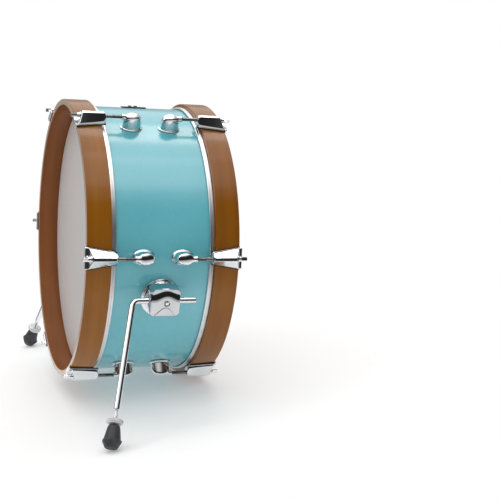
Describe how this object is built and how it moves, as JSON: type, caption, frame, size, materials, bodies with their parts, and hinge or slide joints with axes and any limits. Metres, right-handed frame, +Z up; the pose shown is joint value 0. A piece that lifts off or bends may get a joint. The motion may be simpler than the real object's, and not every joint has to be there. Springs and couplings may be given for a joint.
{
  "type": "bass drum",
  "caption": "Shallow 18 inch bass drum with a gloss teal shell, wooden hoops held by chrome claws, two heads, and two folding spurs with rubber feet.",
  "frame": {"origin": "on the floor, at the centre of the drum's outline seen from above", "axes": "+Z up; -Y is the front (resonant head), +Y is the player's side (batter head); +X and -X are the two spurs; the drum leans back 8 degrees about X, front raised"},
  "size_m": [0.7334, 0.3298, 0.5074],
  "materials": {
    "shell_lacquer": "high-gloss teal lacquer over a wood shell",
    "hoop_wood": "amber-brown stained wood under satin lacquer",
    "flesh_hoop": "satin aluminium",
    "head_film": "coated white drum film",
    "chrome": "polished chrome plate on die-cast metal",
    "rod_steel": "bright plated steel",
    "nut_steel": "dull plated steel with a knurled rim",
    "dark_steel": "dark plated steel",
    "bushing": "light grey nylon",
    "foot_rubber": "matt black rubber"
  },
  "bodies": {
    "drum": {"shell": "shell_lacquer", "front_lug_1": "chrome", "front_lug_2": "chrome", "front_lug_3": "chrome", "front_lug_4": "chrome", "front_lug_5": "chrome", "front_lug_6": "chrome", "rear_lug_1": "chrome", "rear_lug_2": "chrome", "rear_lug_3": "chrome", "rear_lug_4": "chrome", "rear_lug_5": "chrome", "rear_lug_6": "chrome", "holder_plate": "dark_steel", "holder_plate_screw_1": "dark_steel", "holder_plate_screw_2": "dark_steel", "right_spur_base": "chrome", "right_spur_block": "chrome", "left_spur_base": "chrome", "left_spur_block": "chrome"},
    "front_hoop_set": {"front_hoop": "hoop_wood", "front_flesh_hoop": "flesh_hoop", "front_head": "head_film", "front_claw_1": "chrome", "front_claw_2": "chrome", "front_claw_3": "chrome", "front_claw_4": "chrome", "front_claw_5": "chrome", "front_claw_6": "chrome"},
    "front_key_rod_1": {"front_key_rod_1": "rod_steel"},
    "front_key_rod_2": {"front_key_rod_2": "rod_steel"},
    "front_key_rod_3": {"front_key_rod_3": "rod_steel"},
    "front_key_rod_4": {"front_key_rod_4": "rod_steel"},
    "front_key_rod_5": {"front_key_rod_5": "rod_steel"},
    "front_key_rod_6": {"front_key_rod_6": "rod_steel"},
    "rear_hoop_set": {"rear_hoop": "hoop_wood", "rear_flesh_hoop": "flesh_hoop", "rear_head": "head_film", "rear_claw_1": "chrome", "rear_claw_2": "chrome", "rear_claw_3": "chrome", "rear_claw_4": "chrome", "rear_claw_5": "chrome", "rear_claw_6": "chrome"},
    "rear_key_rod_1": {"rear_key_rod_1": "rod_steel"},
    "rear_key_rod_2": {"rear_key_rod_2": "rod_steel"},
    "rear_key_rod_3": {"rear_key_rod_3": "rod_steel"},
    "rear_key_rod_4": {"rear_key_rod_4": "rod_steel"},
    "rear_key_rod_5": {"rear_key_rod_5": "rod_steel"},
    "rear_key_rod_6": {"rear_key_rod_6": "rod_steel"},
    "right_spur_bushing": {"right_spur_bushing": "bushing"},
    "right_spur_rod": {"right_spur_rod": "chrome"},
    "right_spur_foot": {"right_spur_foot": "foot_rubber"},
    "right_spur_lock_nut": {"right_spur_lock_nut": "nut_steel"},
    "right_spur_key_screw": {"right_spur_key_screw": "rod_steel"},
    "left_spur_bushing": {"left_spur_bushing": "bushing"},
    "left_spur_rod": {"left_spur_rod": "chrome"},
    "left_spur_foot": {"left_spur_foot": "foot_rubber"},
    "left_spur_lock_nut": {"left_spur_lock_nut": "nut_steel"},
    "left_spur_key_screw": {"left_spur_key_screw": "rod_steel"}
  },
  "joints": [
    {"name": "front_hoop_lift", "type": "slide", "parent": "drum", "child": "front_hoop_set", "axis": [0, -0.9903, 0.1392], "range_m": [0, 0.02]},
    {"name": "front_key_rod_1_turn", "type": "hinge", "parent": "front_hoop_set", "child": "front_key_rod_1", "pos_m": [0.12244, -0.0807, 0.4831], "axis": [0, -0.9903, 0.1392], "continuous": true},
    {"name": "front_key_rod_2_turn", "type": "hinge", "parent": "front_hoop_set", "child": "front_key_rod_2", "pos_m": [0.24694, -0.11071, 0.26956], "axis": [0, -0.9903, 0.1392], "continuous": true},
    {"name": "front_key_rod_3_turn", "type": "hinge", "parent": "front_hoop_set", "child": "front_key_rod_3", "pos_m": [0.12244, -0.14073, 0.05602], "axis": [0, -0.9903, 0.1392], "continuous": true},
    {"name": "front_key_rod_4_turn", "type": "hinge", "parent": "front_hoop_set", "child": "front_key_rod_4", "pos_m": [-0.12656, -0.14073, 0.05602], "axis": [0, -0.9903, 0.1392], "continuous": true},
    {"name": "front_key_rod_5_turn", "type": "hinge", "parent": "front_hoop_set", "child": "front_key_rod_5", "pos_m": [-0.25106, -0.11071, 0.26956], "axis": [0, -0.9903, 0.1392], "continuous": true},
    {"name": "front_key_rod_6_turn", "type": "hinge", "parent": "front_hoop_set", "child": "front_key_rod_6", "pos_m": [-0.12656, -0.0807, 0.4831], "axis": [0, -0.9903, 0.1392], "continuous": true},
    {"name": "rear_hoop_lift", "type": "slide", "parent": "drum", "child": "rear_hoop_set", "axis": [0, 0.9903, -0.1392], "range_m": [0, 0.02]},
    {"name": "rear_key_rod_1_turn", "type": "hinge", "parent": "rear_hoop_set", "child": "rear_key_rod_1", "pos_m": [0.12244, 0.14508, 0.45137], "axis": [0, 0.9903, -0.1392], "continuous": true},
    {"name": "rear_key_rod_2_turn", "type": "hinge", "parent": "rear_hoop_set", "child": "rear_key_rod_2", "pos_m": [0.24694, 0.11507, 0.23783], "axis": [0, 0.9903, -0.1392], "continuous": true},
    {"name": "rear_key_rod_3_turn", "type": "hinge", "parent": "rear_hoop_set", "child": "rear_key_rod_3", "pos_m": [0.12244, 0.08506, 0.02429], "axis": [0, 0.9903, -0.1392], "continuous": true},
    {"name": "rear_key_rod_4_turn", "type": "hinge", "parent": "rear_hoop_set", "child": "rear_key_rod_4", "pos_m": [-0.12656, 0.08506, 0.02429], "axis": [0, 0.9903, -0.1392], "continuous": true},
    {"name": "rear_key_rod_5_turn", "type": "hinge", "parent": "rear_hoop_set", "child": "rear_key_rod_5", "pos_m": [-0.25106, 0.11507, 0.23783], "axis": [0, 0.9903, -0.1392], "continuous": true},
    {"name": "rear_key_rod_6_turn", "type": "hinge", "parent": "rear_hoop_set", "child": "rear_key_rod_6", "pos_m": [-0.12656, 0.14508, 0.45137], "axis": [0, 0.9903, -0.1392], "continuous": true},
    {"name": "right_spur_swing", "type": "hinge", "parent": "drum", "child": "right_spur_bushing", "pos_m": [0.24966, -0.00688, 0.18923], "axis": [0, -0.9903, 0.1392], "range_deg": [-40, 115]},
    {"name": "right_spur_slide", "type": "slide", "parent": "right_spur_bushing", "child": "right_spur_rod", "axis": [0, -0.9903, 0.1392], "range_m": [-0.012, 0.018]},
    {"name": "right_foot_screw", "type": "slide", "parent": "right_spur_rod", "child": "right_spur_foot", "axis": [0.4635, -0.3404, -0.8181], "range_m": [-0.008, 0.008]},
    {"name": "right_lock_nut_turn", "type": "hinge", "parent": "right_spur_foot", "child": "right_spur_lock_nut", "pos_m": [0.33926, -0.12418, 0.03833], "axis": [0.4635, -0.3404, -0.8181], "continuous": true},
    {"name": "right_spur_key_screw_turn", "type": "hinge", "parent": "drum", "child": "right_spur_key_screw", "pos_m": [0.25934, -0.00723, 0.18675], "axis": [0.9681, -0.0348, -0.2479], "continuous": true},
    {"name": "left_spur_swing", "type": "hinge", "parent": "drum", "child": "left_spur_bushing", "pos_m": [-0.25377, -0.00688, 0.18923], "axis": [0, 0.9903, -0.1392], "range_deg": [-40, 115]},
    {"name": "left_spur_slide", "type": "slide", "parent": "left_spur_bushing", "child": "left_spur_rod", "axis": [0, -0.9903, 0.1392], "range_m": [-0.028, 0.004]},
    {"name": "left_foot_screw", "type": "slide", "parent": "left_spur_rod", "child": "left_spur_foot", "axis": [-0.4444, -0.3418, -0.828], "range_m": [-0.008, 0.008]},
    {"name": "left_lock_nut_turn", "type": "hinge", "parent": "left_spur_foot", "child": "left_spur_lock_nut", "pos_m": [-0.33968, -0.1403, 0.03863], "axis": [-0.4444, -0.3418, -0.828], "continuous": true},
    {"name": "left_spur_key_screw_turn", "type": "hinge", "parent": "drum", "child": "left_spur_key_screw", "pos_m": [-0.26346, -0.00723, 0.18675], "axis": [-0.9681, -0.0348, -0.2479], "continuous": true}
  ]
}
